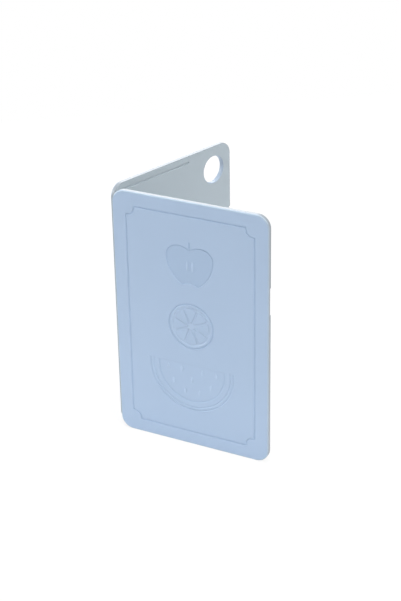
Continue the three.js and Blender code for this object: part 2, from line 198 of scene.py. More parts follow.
def lay_floor():
    half = FLOOR_SIZE / 2
    mesh = bpy.data.meshes.new("floor")
    corners = [(-half, -half, 0), (half, -half, 0), (half, half, 0), (-half, half, 0)]
    mesh.from_pydata(corners, [], [(0, 1, 2, 3)])
    mesh.materials.append(floor_finish())
    floor = bpy.data.objects.new("floor", mesh)
    scene.collection.objects.link(floor)


lay_floor()
print("floor side in m:", FLOOR_SIZE)

# %% Soft boxes
LAMPS = (
    # name, from where, size, watts, colour
    ("overhead_box", (0.00, -0.22, 3.20), 2.20, 97.0, (1.0, 1.0, 1.0)),
    ("front_box", (1.50, -2.75, 2.60), 1.80, 63.0, (1.0, 0.95, 0.89)),
    ("back_box", (0.20, 2.60, 1.50), 1.60, 24.0, (1.0, 1.0, 1.0)),
    ("left_box", (-2.50, 1.00, 0.70), 1.20, 35.0, (1.0, 1.0, 1.0)),
)


def hang_lamp(name, place, size, watts, colour):
    lamp = bpy.data.lights.new(name, "AREA")
    lamp.size = size
    lamp.energy = watts
    lamp.color = colour
    holder = bpy.data.objects.new(name, lamp)
    scene.collection.objects.link(holder)
    holder.location = place
    towards = Vector((0, 0, (cad_low.z + cad_high.z) / 2)) - Vector(place)
    holder.rotation_mode = "QUATERNION"
    holder.rotation_quaternion = towards.to_track_quat("-Z", "Y")


for lamp in LAMPS:
    hang_lamp(*lamp)
print("soft boxes hung:", len(LAMPS))

# %% [markdown]
# ## Finish
#
# Polypropylene comes out of the mould with a faint grain, slow changes of tone where it flowed, and
# broad patches that are a little shinier. All the finishes share these, so they are one shader group
# with named inputs. A picture texture could carry the same marks, but noise on Object coordinates
# has no seams and stays sharp from near by. The shader itself stays in each material. The mould isn't
# polished alike everywhere, so faces, floors, ends, rounds and relief each get a gloss. Their tones carry
# painted light and shade: the floors and segment walls are darker with painted shade, the ends and rounds
# greyer and darker with painted shade, the relief paler with painted highlight, and the cutting faces
# greyer, partly as painted warm light.

# %% Shared surface of the moulding
def moulded_skin():
    group = bpy.data.node_groups.new("moulded_skin", "ShaderNodeTree")
    face = group.interface
    for name, value in (("Grain Scale", 2600.0), ("Flow Scale", 9.0), ("Sheen Scale", 38.0)):
        face.new_socket(name, in_out="INPUT", socket_type="NodeSocketFloat").default_value = value
    for name in ("Grain", "Flow", "Sheen"):
        face.new_socket(name, in_out="OUTPUT", socket_type="NodeSocketFloat")
    nodes, links = group.nodes, group.links
    source = nodes.new("NodeGroupInput")
    result = nodes.new("NodeGroupOutput")
    place = nodes.new("ShaderNodeTexCoord")
    for name, detail in (("Grain", 2.0), ("Flow", 1.5), ("Sheen", 3.0)):
        noise = nodes.new("ShaderNodeTexNoise")
        noise.inputs["Detail"].default_value = detail
        links.new(place.outputs["Object"], noise.inputs["Vector"])
        links.new(source.outputs[name + " Scale"], noise.inputs["Scale"])
        links.new(noise.outputs["Fac"], result.inputs[name])
    return group


SKIN = moulded_skin()
print("shared skin has outputs", [item.name for item in SKIN.interface.items_tree if item.in_out == "OUTPUT"])

# %% Plastic finishes
REFRACTION = 1.49  # of polypropylene
GRAIN_STRENGTH = 0.35


def plastic(name, deep, pale, dull, shiny, grain_depth, grain_scale):
    """deep and pale are the ends of the tone, dull and shiny the ends of the roughness."""
    material = bpy.data.materials.new(name)
    material.use_nodes = True
    nodes, links = material.node_tree.nodes, material.node_tree.links
    shader = nodes["Principled BSDF"]
    shader.inputs["IOR"].default_value = REFRACTION
    skin = nodes.new("ShaderNodeGroup")
    skin.node_tree = SKIN
    skin.inputs["Grain Scale"].default_value = grain_scale
    tone = nodes.new("ShaderNodeMix")
    tone.data_type = "RGBA"
    tone.inputs["A"].default_value = (*deep, 1)
    tone.inputs["B"].default_value = (*pale, 1)
    links.new(skin.outputs["Flow"], tone.inputs["Factor"])
    links.new(tone.outputs["Result"], shader.inputs["Base Color"])
    gloss = nodes.new("ShaderNodeMapRange")
    gloss.inputs["To Min"].default_value = shiny
    gloss.inputs["To Max"].default_value = dull
    links.new(skin.outputs["Sheen"], gloss.inputs["Value"])
    links.new(gloss.outputs["Result"], shader.inputs["Roughness"])
    bump = nodes.new("ShaderNodeBump")
    bump.inputs["Strength"].default_value = GRAIN_STRENGTH
    bump.inputs["Distance"].default_value = grain_depth
    links.new(skin.outputs["Grain"], bump.inputs["Height"])
    links.new(bump.outputs["Normal"], shader.inputs["Normal"])
    return material


SATIN_FACE = plastic("satin_face", (0.390, 0.516, 0.705), (0.416, 0.546, 0.735), 0.50, 0.40, 0.010 * MM, 2600)
# Cutting faces: rougher, with a greyer tone that is partly painted warm light from the right.
CUTTING_FACE = plastic("cutting_face", (0.424, 0.502, 0.566), (0.454, 0.532, 0.596), 0.58, 0.46, 0.016 * MM, 1900)
# Floors of the sunk lines: duller, and darker with painted shade in the recesses.
DULL_FLOOR_PAINTED_SHADE = plastic("dull_floor_painted_shade", (0.368, 0.494, 0.683), (0.394, 0.524, 0.713), 0.66, 0.58, 0.020 * MM, 2200)
# Ends of the leaves: glossier, and grey and darker with painted shade.
RIM_PAINTED_SHADE = plastic("rim_painted_shade", (0.274, 0.319, 0.365), (0.304, 0.349, 0.395), 0.36, 0.28, 0.006 * MM, 3000)
# Outer half of the rim's round and the wall of the hole: darker and greyer with painted shade.
ROUND_PAINTED_SHADE = plastic("round_painted_shade", (0.365, 0.455, 0.575), (0.395, 0.485, 0.605), 0.40, 0.30, 0.006 * MM, 3000)
# Half of the round next to the face: a little greyer, with lighter painted shade.
ROUND_PAINTED_HALF_SHADE = plastic("round_painted_half_shade", (0.405, 0.520, 0.645), (0.435, 0.550, 0.675), 0.40, 0.30, 0.006 * MM, 3000)
# Relief: paler with painted highlight.
RELIEF_PAINTED_HIGHLIGHT = plastic("relief_painted_highlight", (0.428, 0.556, 0.745), (0.453, 0.586, 0.775), 0.46, 0.38, 0.006 * MM, 3000)
SHADED_WALL = plastic("shaded_wall", (0.351, 0.464, 0.635), (0.374, 0.491, 0.662), 0.66, 0.58, 0.010 * MM, 2600)
FINISHES = (SATIN_FACE, CUTTING_FACE, DULL_FLOOR_PAINTED_SHADE, RIM_PAINTED_SHADE, ROUND_PAINTED_SHADE, ROUND_PAINTED_HALF_SHADE, RELIEF_PAINTED_HIGHLIGHT, SHADED_WALL)
FACE, CUTTING, FLOOR, RIM, ROUND, PALE, BRIGHT, SHADED = range(8)
print("finishes:", [material.name for material in FINISHES])

# %% [markdown]
# ## The leaf as a drawing
#
# Both leaves are drawn flat, as a moulder would: x runs from the hinge axis to the free edge, y up along
# the hinge, and a third number through the thickness, from the cutting face to the outer face. Only the
# finished mesh is stood up and turned to its side of the hinge. Drawing straight in the turned position
# would need the angle in every number.

# %% Sizes of a leaf
LEAF_THICKNESS = 4.2 * MM
INNER_FACE = 0.3 * MM  # from the hinge axis to each cutting face
OUTER_FACE = INNER_FACE + LEAF_THICKNESS
HINGE_SETBACK = 0.8 * MM
CORNER_RADIUS = 11 * MM
OUTER_ROUND = 1.0 * MM
INNER_BREAK = 0.4 * MM
LEAF_HEIGHT = cad_high.z - cad_low.z
FREE_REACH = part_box("front_leaf")[1].x - HINGE.x
LEAF_WIDTH = (FREE_REACH + (INNER_FACE + INNER_BREAK) * math.sin(HALF_OPENING)) / math.cos(HALF_OPENING)
FRONT, REAR = 1, -1
QUARTER = math.pi / 2


def stand_up(points, side):
    """Drawing points (x, y, through) to the standing board, for the front or the rear leaf."""
    x, y, through = np.asarray(points, float).T
    cos, sin = math.cos(HALF_OPENING), math.sin(HALF_OPENING)
    return np.stack(
        (HINGE.x + x * cos - through * sin, HINGE.y - side * (x * sin + through * cos), cad_low.z + y), axis=1
    )


print("leaf width and height in mm:", round(LEAF_WIDTH / MM, 2), round(LEAF_HEIGHT / MM, 2))


# %% Outlines
def polar(centre, radius, angle):
    return np.stack((centre[0] + radius * np.cos(angle), centre[1] + radius * np.sin(angle)), axis=-1)


def arc(centre, radius, start, end, steps=24):
    return polar(centre, radius, np.linspace(start, end, steps + 1))


def oval_arc(centre, across, up, start, end, steps=24):
    turn = np.linspace(start, end, steps + 1)
    return np.stack((centre[0] + across * np.cos(turn), centre[1] + up * np.sin(turn)), axis=1)


def bend(start, pull, end, steps=16):
    t = np.linspace(0, 1, steps + 1)[:, None]
    return (1 - t) ** 2 * np.array(start) + 2 * t * (1 - t) * np.array(pull) + t**2 * np.array(end)


def rounded_leaf(left, bottom, right, top, radius):
    corners = ((left, bottom, 1, 1), (right, bottom, -1, 1), (right, top, -1, -1), (left, top, 1, -1))
    arcs = []
    for i, (x, y, along, up) in enumerate(corners):
        centre = (x + along * radius, y + up * radius)
        arcs.append(arc(centre, radius, QUARTER * (i + 2), QUARTER * (i + 3)))
    return np.concatenate(arcs)


def line_outline(path, width, steps=8):
    """The outline of a line of one width with round ends, drawn along a row of points."""
    path = np.asarray(path, float)
    ahead = np.gradient(path, axis=0)
    angle = np.arctan2(ahead[:, 1], ahead[:, 0])
    across = np.stack((-np.sin(angle), np.cos(angle)), axis=1) * width / 2
    far = arc(path[-1], width / 2, angle[-1] - QUARTER, angle[-1] + QUARTER, steps)[1:-1]
    near = arc(path[0], width / 2, angle[0] + QUARTER, angle[0] + 3 * QUARTER, steps)[1:-1]
    return np.concatenate((path - across, far, (path + across)[::-1], near))


def turned(outline, left_side_inside=True):
    """The outline with its inside on the left of its direction, or on the right for an island."""
    x, y = outline.T
    area = np.sum(x * np.roll(y, -1) - np.roll(x, -1) * y)
    return outline if (area > 0) == left_side_inside else outline[::-1]


print("a leaf's outline has", len(rounded_leaf(HINGE_SETBACK, 0, LEAF_WIDTH, LEAF_HEIGHT, CORNER_RADIUS)), "points")

# %% [markdown]
# ## Edges that follow a path
#
# The rim of a leaf, the wall of the hole and the soft wall of every groove and figure are all one small
# section swept along an outline. That follows a path, so Geometry Nodes do it: the tree evens out the
# points, rounds the corners by blurring their places, as the round nose of a mould cutter does, sweeps the
# section, and can repeat the result about a centre. A bevel on a cut edge would be the other way, but it
# breaks where edges come closer than its width.

# %% Sweep tree: inputs
def new_tree(name, inputs):
    """A tree with named inputs, the identifiers that set them on a modifier, and its input node."""
    tree = bpy.data.node_groups.new(name, "GeometryNodeTree")
    sockets = {}
    for socket, kind in inputs:
        made = tree.interface.new_socket(socket, in_out="INPUT", socket_type="NodeSocket" + kind)
        sockets[socket] = made.identifier
    tree.interface.new_socket("Geometry", in_out="OUTPUT", socket_type="NodeSocketGeometry")
    return tree, sockets, tree.nodes.new("NodeGroupInput")


SWEEP, SWEEP_SOCKETS, sweep_source = new_tree(
    "swept_edge",
    (
        ("Path", "Object"),
        ("Section", "Object"),
        ("Spacing", "Float"),
        ("Corner Passes", "Int"),
        ("Closed Ends", "Bool"),
        ("Repeats", "Int"),
        ("Centre", "Vector"),
        ("Finish", "Material"),
    ),
)
print("sweep tree inputs:", list(SWEEP_SOCKETS))


# %% Sweep tree: along the path
def sweep_along_path(tree, source):
    """Even points on the path, soft corners, and the section swept along them."""
    nodes, links = tree.nodes, tree.links
    path = nodes.new("GeometryNodeObjectInfo")
    section = nodes.new("GeometryNodeObjectInfo")
    links.new(source.outputs["Path"], path.inputs["Object"])
    links.new(source.outputs["Section"], section.inputs["Object"])
    even = nodes.new("GeometryNodeResampleCurve")
    even.mode = "LENGTH"
    links.new(path.outputs["Geometry"], even.inputs["Curve"])
    links.new(source.outputs["Spacing"], even.inputs["Length"])
    place = nodes.new("GeometryNodeInputPosition")
    blur = nodes.new("GeometryNodeBlurAttribute")
    blur.data_type = "FLOAT_VECTOR"
    links.new(place.outputs["Position"], blur.inputs["Value"])
    links.new(source.outputs["Corner Passes"], blur.inputs["Iterations"])
    rounded = nodes.new("GeometryNodeSetPosition")
    links.new(even.outputs["Curve"], rounded.inputs["Geometry"])
    links.new(blur.outputs["Value"], rounded.inputs["Position"])
    upright = nodes.new("GeometryNodeSetCurveNormal")
    upright.mode = "Z_UP"
    links.new(rounded.outputs["Geometry"], upright.inputs["Curve"])
    sweep = nodes.new("GeometryNodeCurveToMesh")
    links.new(upright.outputs["Curve"], sweep.inputs["Curve"])
    links.new(section.outputs["Geometry"], sweep.inputs["Profile Curve"])
    links.new(source.outputs["Closed Ends"], sweep.inputs["Fill Caps"])
    return sweep.outputs["Mesh"]


one_edge = sweep_along_path(SWEEP, sweep_source)
print("one edge comes from", one_edge.node.bl_label)


# %% Sweep tree: repeats and end
def repeat_about_centre(tree, source, mesh):
    """The mesh moved to the middle, and set out again in equal turns about the centre."""
    nodes, links = tree.nodes, tree.links
    back = nodes.new("ShaderNodeVectorMath")
    back.operation = "SCALE"
    back.inputs["Scale"].default_value = -1
    links.new(source.outputs["Centre"], back.inputs[0])
    centred = nodes.new("GeometryNodeTransform")
    links.new(mesh, centred.inputs["Geometry"])
    links.new(back.outputs["Vector"], centred.inputs["Translation"])
    spots = nodes.new("GeometryNodeMeshLine")
    spots.inputs["Offset"].default_value = (0, 0, 0)
    links.new(source.outputs["Repeats"], spots.inputs["Count"])
    links.new(source.outputs["Centre"], spots.inputs["Start Location"])
    index = nodes.new("GeometryNodeInputIndex")
    share = nodes.new("ShaderNodeMath")
    share.operation = "DIVIDE"
    links.new(index.outputs["Index"], share.inputs[0])
    links.new(source.outputs["Repeats"], share.inputs[1])
    angle = nodes.new("ShaderNodeMath")
    angle.operation = "MULTIPLY"
    angle.inputs[1].default_value = 2 * math.pi
    links.new(share.outputs[0], angle.inputs[0])
    turn = nodes.new("ShaderNodeCombineXYZ")
    links.new(angle.outputs[0], turn.inputs["Z"])
    repeat = nodes.new("GeometryNodeInstanceOnPoints")
    links.new(spots.outputs["Mesh"], repeat.inputs["Points"])
    links.new(centred.outputs["Geometry"], repeat.inputs["Instance"])
    links.new(turn.outputs["Vector"], repeat.inputs["Rotation"])
    return repeat.outputs["Instances"]


def end_tree(tree, source, instances):
    """Real, smooth faces with their finish leave the tree."""
    nodes, links = tree.nodes, tree.links
    real = nodes.new("GeometryNodeRealizeInstances")
    smooth = nodes.new("GeometryNodeSetShadeSmooth")
    finish = nodes.new("GeometryNodeSetMaterial")
    result = nodes.new("NodeGroupOutput")
    links.new(instances, real.inputs["Geometry"])
    links.new(real.outputs["Geometry"], smooth.inputs["Geometry"])
    links.new(smooth.outputs["Geometry"], finish.inputs["Geometry"])
    links.new(source.outputs["Finish"], finish.inputs["Material"])
    links.new(finish.outputs["Geometry"], result.inputs["Geometry"])


end_tree(SWEEP, sweep_source, repeat_about_centre(SWEEP, sweep_source, one_edge))
print("sweep tree nodes:", len(SWEEP.nodes))


# %% Running a tree and keeping its mesh
def nodes_mesh(name, tree, sockets, values):
    """The plain points and faces that a tree makes, with its helper objects taken away again."""
    holder = bpy.data.objects.new(name, bpy.data.meshes.new(name))
    scene.collection.objects.link(holder)
    modifier = holder.modifiers.new(name, "NODES")
    modifier.node_group = tree
    for socket, value in values.items():
        modifier[sockets[socket]] = value
    mesh = bpy.data.meshes.new_from_object(holder.evaluated_get(bpy.context.evaluated_depsgraph_get()))
    holder.modifiers.remove(modifier)
    bpy.data.objects.remove(holder)
    points = np.empty(len(mesh.vertices) * 3, np.float32)
    mesh.vertices.foreach_get("co", points)
    faces = [tuple(polygon.vertices) for polygon in mesh.polygons]
    bpy.data.meshes.remove(mesh)
    return points.reshape(-1, 3).astype(float), faces


def drawn_curve(name, points, closed):
    curve = bpy.data.curves.new(name, "CURVE")
    curve.dimensions = "3D"
    spline = curve.splines.new("POLY")
    spline.points.add(len(points) - 1)
    rows = np.zeros((len(points), 4), np.float32)
    rows[:, :2] = points
    rows[:, 3] = 1
    spline.points.foreach_set("co", rows.ravel())
    spline.use_cyclic_u = closed
    drawn = bpy.data.objects.new(name, curve)
    scene.collection.objects.link(drawn)
    return drawn


def swept(name, path, section, spacing, finish, passes=0, repeats=1, centre=(0, 0), closed=True):
    """A section of (inwards, through) points, swept along a path whose inside is on the left."""
    rail = drawn_curve(name + "_path", path, closed)
    blade = drawn_curve(name + "_section", -np.asarray(section), not closed)
    values = {"Path": rail, "Section": blade, "Spacing": spacing, "Corner Passes": passes, "Closed Ends": not closed}
    values |= {"Repeats": repeats, "Centre": (*centre, 0), "Finish": finish}
    made = nodes_mesh(name, SWEEP, SWEEP_SOCKETS, values)
    for helper in (rail, blade):
        curve = helper.data
        bpy.data.objects.remove(helper)
        bpy.data.curves.remove(curve)
    return made


trial = swept("trial_ring", arc((0, 0), 10 * MM, 0, 2 * math.pi, 60)[:-1], [(0, 0), (MM, MM)], MM, SATIN_FACE)
print("a trial ring has", len(trial[1]), "faces")

# %% [markdown]
# ## Sections
#
# A moulded wall is never quite square: it leans so that the part comes out of the mould, and both its
# edges are a little soft. So each wall here is an S from the face down to the floor, and the rim is a
# small round on the cutting face and a larger one on the outer face. Plain chamfers would need fewer
# points, but each shows as two hard lines.

# %% Rim, hole and wall sections
ROUND_STEPS = 8
WALL_STEPS = 6
WALL_OUTSIDE = 0.15 * MM  # how far a wall starts outside its outline
WALL_INSIDE = 0.25 * MM
HOLE_RIM = 0.6 * MM
RIM_SPACING = 1.1 * MM  # between the points of a swept path
WALL_SPACING = 0.8 * MM
LINE_SPACING = 0.5 * MM


def edge_section(inner_round, outer_round, inwards):
    """From the cutting face to the outer face. inwards is 1 on the leaf's rim and -1 in the hole."""
    turn = np.linspace(0, QUARTER, ROUND_STEPS + 1)
    inner = np.stack((inner_round * (1 - np.sin(turn)), INNER_FACE + inner_round * (1 - np.cos(turn))), axis=1)
    outer = np.stack((outer_round * (1 - np.cos(turn)), OUTER_FACE - outer_round * (1 - np.sin(turn))), axis=1)
    return np.concatenate((inner, outer)) * (inwards, 1)


def wall_section(face, floor, outside=WALL_OUTSIDE, inside=WALL_INSIDE):
    t = np.linspace(0, 1, WALL_STEPS + 1)
    fall = t * t * (3 - 2 * t)
    return np.stack((-outside + (outside + inside) * t, face + (floor - face) * fall), axis=1)


print("rim section:", len(edge_section(INNER_BREAK, OUTER_ROUND, 1)), "points")

# %% [markdown]
# ## Closing the flats
#
# The swept edges leave open lips at the level of each flat: the outer face, the cutting face and the
# floors. A constrained triangulation fills each level between its lips, so every flat stays truly flat
# and shares the lips' own points. Cutting the figures with booleans would give the same shape with
# far less even faces.

# %% Fill between the lips
LEVEL_TOLERANCE = 0.001 * MM
FILL_TOLERANCE = 1e-5  # in millimetres
WELD = 0.002 * MM


def open_edges(faces):
    count = {}
    for face in faces:
        for a, b in zip(face, face[1:] + face[:1]):
            edge = (min(a, b), max(a, b))
            count[edge] = count.get(edge, 0) + 1
    return np.array([edge for edge, uses in count.items() if uses == 1])


def inside_lips(spots, starts, ends):
    """True for spots that an odd number of lips surround."""
    odd = np.zeros(len(spots), bool)
    rise = np.where(ends[:, 1] == starts[:, 1], 1.0, ends[:, 1] - starts[:, 1])
    for i, (x, y) in enumerate(spots):
        crossing = (starts[:, 1] > y) != (ends[:, 1] > y)
        meets = starts[:, 0] + (y - starts[:, 1]) / rise * (ends[:, 0] - starts[:, 0])
        odd[i] = np.count_nonzero(crossing & (x < meets)) % 2
    return odd


def filled_level(points, edges, level):
    here = np.all(np.abs(points[edges][:, :, 2] - level) < LEVEL_TOLERANCE, axis=1)
    lips = edges[here]
    used, place = np.unique(lips, return_inverse=True)
    flat = points[used][:, :2] / MM
    pairs = place.reshape(-1, 2).tolist()
    # output type 1 leaves out the triangles that lie outside every lip
    spots, _, triangles, *_ = delaunay_2d_cdt([Vector(p) for p in flat], pairs, [], 1, FILL_TOLERANCE)
    spots = np.array([tuple(spot) for spot in spots])
    triangles = np.array(triangles)
    keep = inside_lips(spots[triangles].mean(axis=1), flat[np.array(pairs)[:, 0]], flat[np.array(pairs)[:, 1]])
    surface = np.column_stack((spots * MM, np.full(len(spots), level)))
    return surface, [tuple(face) for face in triangles[keep].tolist()]


print("the trial ring's hole takes", len(filled_level(trial[0], open_edges(trial[1]), 0.0)[1]), "triangles")


# %% Leaf builder
def leaf_mesh(name, side, edges, levels):
    """edges are swept meshes with a finish number; levels are (height, finish number) of the flats."""
    points, faces, finishes = np.zeros((0, 3)), [], []

    def add(more_points, more_faces, finish):
        nonlocal points
        start = len(points)
        points = np.concatenate((points, more_points))
        faces.extend(tuple(start + i for i in face) for face in more_faces)
        finishes.extend([finish] * len(more_faces))

    for (edge_points, edge_faces), finish in edges:
        add(edge_points, edge_faces, finish)
    swept_faces = len(faces)
    lips = open_edges(faces)
    swept_points = points.copy()
    for level, finish in levels:
        add(*filled_level(swept_points, lips, level), finish)

    mesh = bpy.data.meshes.new(name)
    mesh.from_pydata(stand_up(points, side).tolist(), [], faces)
    mesh.polygons.foreach_set("material_index", np.array(finishes, np.int32))
    mesh.polygons.foreach_set("use_smooth", np.arange(len(faces)) < swept_faces)
    for material in FINISHES:
        mesh.materials.append(material)
    work = bmesh.new()
    work.from_mesh(mesh)
    bmesh.ops.remove_doubles(work, verts=work.verts, dist=WELD)
    bmesh.ops.recalc_face_normals(work, faces=work.faces)
    loose = sum(not edge.is_manifold for edge in work.edges)
    work.to_mesh(mesh)
    work.free()
    leaf = bpy.data.objects.new(name, mesh)
    scene.collection.objects.link(leaf)
    print(name, "faces:", len(mesh.polygons), "open edges:", loose)
    return leaf


# %% [markdown]
# ## Juice grooves and finger scoops
#
# Round each cutting face runs a shallow groove that holds juice back, broken where the hinge, the finger
# scoop and the hole are. The scoop is a ramp in the free edge, so that a finger can part the closed leaves.
# The grooves are outlines with a swept wall; the scoop cuts through the rim, so a boolean takes it out.

# %% Juice grooves
JUICE_WIDTH = 2 * MM
JUICE_FLOOR = INNER_FACE + 0.8 * MM
JUICE_MARGIN = 5.7 * MM
JUICE_START = HINGE_SETBACK + 8 * MM
SCOOP_UPPER = LEAF_HEIGHT - 61 * MM
SCOOP_LOWER = SCOOP_UPPER - 24 * MM
JUICE_SCOOP_GAP = 8 * MM
HOLE_RADIUS = 12 * MM
HOLE_WALL = 8.8 * MM
HOLE_CENTRE = (LEAF_WIDTH - HOLE_WALL - HOLE_RADIUS, LEAF_HEIGHT - HOLE_WALL - HOLE_RADIUS)
JUICE_HOLE_GAP = 19 * MM


def corner_run(y, up, end):
    """A groove's middle line from the hinge, round the free corner, to the scoop."""
    radius = CORNER_RADIUS - JUICE_MARGIN
    x = LEAF_WIDTH - CORNER_RADIUS
    corner = arc((x, y + up * radius), radius, -up * QUARTER, 0)
    straight = np.linspace(JUICE_START, x, 60)[:-1]
    level = np.column_stack((straight, np.full(len(straight), y)))
    climb = np.linspace(y + up * radius, end, 60)[1:]
    rise = np.column_stack((np.full(len(climb), LEAF_WIDTH - JUICE_MARGIN), climb))
    return np.concatenate((level, corner, rise))


def groove(name, run):
    outline = turned(line_outline(run, JUICE_WIDTH, 12))
    return swept(name, outline, wall_section(INNER_FACE, JUICE_FLOOR), WALL_SPACING, CUTTING_FACE), CUTTING


upper = LEAF_HEIGHT - JUICE_MARGIN
lower_run = corner_run(JUICE_MARGIN, 1, SCOOP_LOWER - JUICE_SCOOP_GAP)
front_upper_run = corner_run(upper, -1, SCOOP_UPPER + JUICE_SCOOP_GAP)
rear_upper_end = HOLE_CENTRE[0] - HOLE_RADIUS - JUICE_HOLE_GAP
rear_upper_run = np.column_stack((np.linspace(JUICE_START, rear_upper_end, 80), np.full(80, upper)))
print("rear upper groove in mm:", round((rear_upper_end - JUICE_START) / MM, 1))

# %% Finger scoop
SCOOP_REACH = 10 * MM
SCOOP_DEPTH = 1.6 * MM
SCOOP_LEAN = math.tan(math.radians(15))
CLEAR = 1 * MM  # how far a cutter stands out of the leaf


def scoop_cutter(side):
    start, past = LEAF_WIDTH - SCOOP_REACH, LEAF_WIDTH + CLEAR
    depth = SCOOP_DEPTH * (past - start) / SCOOP_REACH
    above = INNER_FACE - CLEAR
    corners = []
    for x, through in ((start, above), (past, above), (start, INNER_FACE), (past, INNER_FACE + depth)):
        draw_in = (through - INNER_FACE) * SCOOP_LEAN
        corners += [(x, SCOOP_LOWER + draw_in, through), (x, SCOOP_UPPER - draw_in, through)]
    work = bmesh.new()
    for corner in stand_up(corners, side):
        work.verts.new(corner)
    bmesh.ops.convex_hull(work, input=work.verts)
    bmesh.ops.recalc_face_normals(work, faces=work.faces)
    mesh = bpy.data.meshes.new("scoop_cutter")
    work.to_mesh(mesh)
    work.free()
    mesh.polygons.foreach_set("material_index", np.full(len(mesh.polygons), CUTTING, np.int32))
    cutter = bpy.data.objects.new("scoop_cutter", mesh)
    scene.collection.objects.link(cutter)
    return cutter


def cut_scoop(leaf, side):
    cutter = scoop_cutter(side)
    boolean = leaf.modifiers.new("scoop", "BOOLEAN")
    boolean.operation = "DIFFERENCE"
    boolean.solver = "EXACT"
    boolean.object = cutter
    cut = bpy.data.meshes.new_from_object(leaf.evaluated_get(bpy.context.evaluated_depsgraph_get()))
    leaf.modifiers.clear()
    leaf.data = cut
    bpy.data.objects.remove(cutter)
    print(leaf.name, "with its scoop:", len(cut.polygons), "faces")


print("scoop in mm:", round(SCOOP_LOWER / MM, 1), "to", round(SCOOP_UPPER / MM, 1), "up the free edge")

# %% [markdown]
# ## Front leaf
#
# The outer face carries a line frame with stepped scallops at the corners, and three fruit figures. The
# apple half is a shallow field inside a deeper line. The slice of melon is a shallow field too, with a line
# along its flesh and two lines in its rind. The segments of the citrus wheel stand in a sunk disc. Such
# relief could be a displaced grid, but its edges would be no sharper than the grid. So each figure is a few
# arcs and curves, drawn from sizes and not traced, and each wall is swept along them.

# %% Line frame
FRAME_FLOOR = OUTER_FACE - 0.6 * MM
FRAME_MARGIN = 12.3 * MM
FRAME_LINE = 1.3 * MM
SCALLOP_RADIUS = 5.8 * MM
SCALLOP_STEP = 1.6 * MM
FRAME_LEFT, FRAME_RIGHT = HINGE_SETBACK + FRAME_MARGIN, LEAF_WIDTH - FRAME_MARGIN
FRAME_BOTTOM, FRAME_TOP = FRAME_MARGIN, LEAF_HEIGHT - FRAME_MARGIN
FIGURE_X = (FRAME_LEFT + FRAME_RIGHT) / 2
FRAME_WALL = wall_section(OUTER_FACE, FRAME_FLOOR, outside=0.30 * MM, inside=0.45 * MM)
LINE_FLOOR = OUTER_FACE - 0.5 * MM
LINE_WALL = wall_section(OUTER_FACE, LINE_FLOOR, outside=0.20 * MM, inside=0.32 * MM)


def frame_outline(inset):
    radius, step = SCALLOP_RADIUS + inset, SCALLOP_STEP - inset
    left, right = FRAME_LEFT + SCALLOP_STEP, FRAME_RIGHT - SCALLOP_STEP
    low, high = FRAME_BOTTOM + SCALLOP_STEP, FRAME_TOP - SCALLOP_STEP
    runs = []
    for i, corner in enumerate(((left, low), (right, low), (right, high), (left, high))):
        turn = i * QUARTER
        entry = polar(polar(corner, radius, turn + QUARTER), step, turn + 2 * QUARTER)
        leave = polar(polar(corner, radius, turn), step, turn - QUARTER)
        runs += [entry[None], arc(corner, radius, turn + QUARTER, turn), leave[None]]
    return np.concatenate(runs)


def sunk(name, outline, spacing=LINE_SPACING, passes=2, section=LINE_WALL, inside=True, finish=FACE, **repeat):
    return swept(name, turned(outline, inside), section, spacing, FINISHES[finish], passes, **repeat), finish


frame_line = [
    sunk("frame_outside", frame_outline(-FRAME_LINE / 2), section=FRAME_WALL),
    sunk("frame_inside", frame_outline(FRAME_LINE / 2), section=FRAME_WALL, inside=False),
]
print("frame line in mm:", round((FRAME_RIGHT - FRAME_LEFT) / MM, 1), "by", round((FRAME_TOP - FRAME_BOTTOM) / MM, 1))

# %% Apple half
FIELD_LINE = 0.9 * MM
APPLE_HALF = 21.3 * MM
APPLE_HEIGHT = 35 * MM
APPLE_WAIST = 24.5 * MM
APPLE_BELLY = (20.6 * MM, 9.3 * MM)  # where the curve from a foot to the waist is pulled
APPLE_LOBE = 10 * MM
APPLE_DIP = 4.2 * MM
APPLE_DIP_PULL = 3.5 * MM
APPLE_FOOT = 7 * MM
APPLE_NOTCH = 2.4 * MM
APPLE_STEM = 8 * MM
APPLE_STEM_HALF = 0.85 * MM
APPLE_ROOT = FRAME_TOP - 21.6 * MM - APPLE_STEM
APPLE_BASE = APPLE_ROOT + APPLE_DIP - APPLE_HEIGHT
APPLE_FLOOR = OUTER_FACE - 0.25 * MM


def apple_outline(inset=0.0):
    """With the stem, or set in from the outline by a line's width and without it."""
    half, low, high = APPLE_HALF - inset, inset, APPLE_HEIGHT - inset
    notch, belly = low + APPLE_NOTCH, (APPLE_BELLY[0] - inset, low + APPLE_BELLY[1])
    runs = [
        bend((0, notch), (APPLE_FOOT / 2, notch), (APPLE_FOOT, low)),
        bend((APPLE_FOOT, low), belly, (half, APPLE_WAIST))[1:],
        oval_arc((APPLE_LOBE, APPLE_WAIST), half - APPLE_LOBE, high - APPLE_WAIST, 0, QUARTER)[1:],
    ]
    dip = bend((APPLE_LOBE, high), (APPLE_DIP_PULL, high), (0, high - APPLE_DIP), 40)[1:]
    if inset:
        runs.append(dip)
    else:
        tip = (0, high - APPLE_DIP + APPLE_STEM - APPLE_STEM_HALF)
        runs += [dip[dip[:, 0] > APPLE_STEM_HALF], arc(tip, APPLE_STEM_HALF, 0, QUARTER, 6)]
    right = np.concatenate(runs)
    left = right[::-1] * (-1, 1)
    return np.concatenate((right, left[1:-1])) + (FIGURE_X, APPLE_BASE)


apple = [
    sunk("apple_line", apple_outline(), section=wall_section(OUTER_FACE, LINE_FLOOR)),
    sunk("apple_field", apple_outline(FIELD_LINE), section=wall_section(APPLE_FLOOR, LINE_FLOOR), inside=False),
]
print("apple base and root in mm:", round(APPLE_BASE / MM, 1), round(APPLE_ROOT / MM, 1))

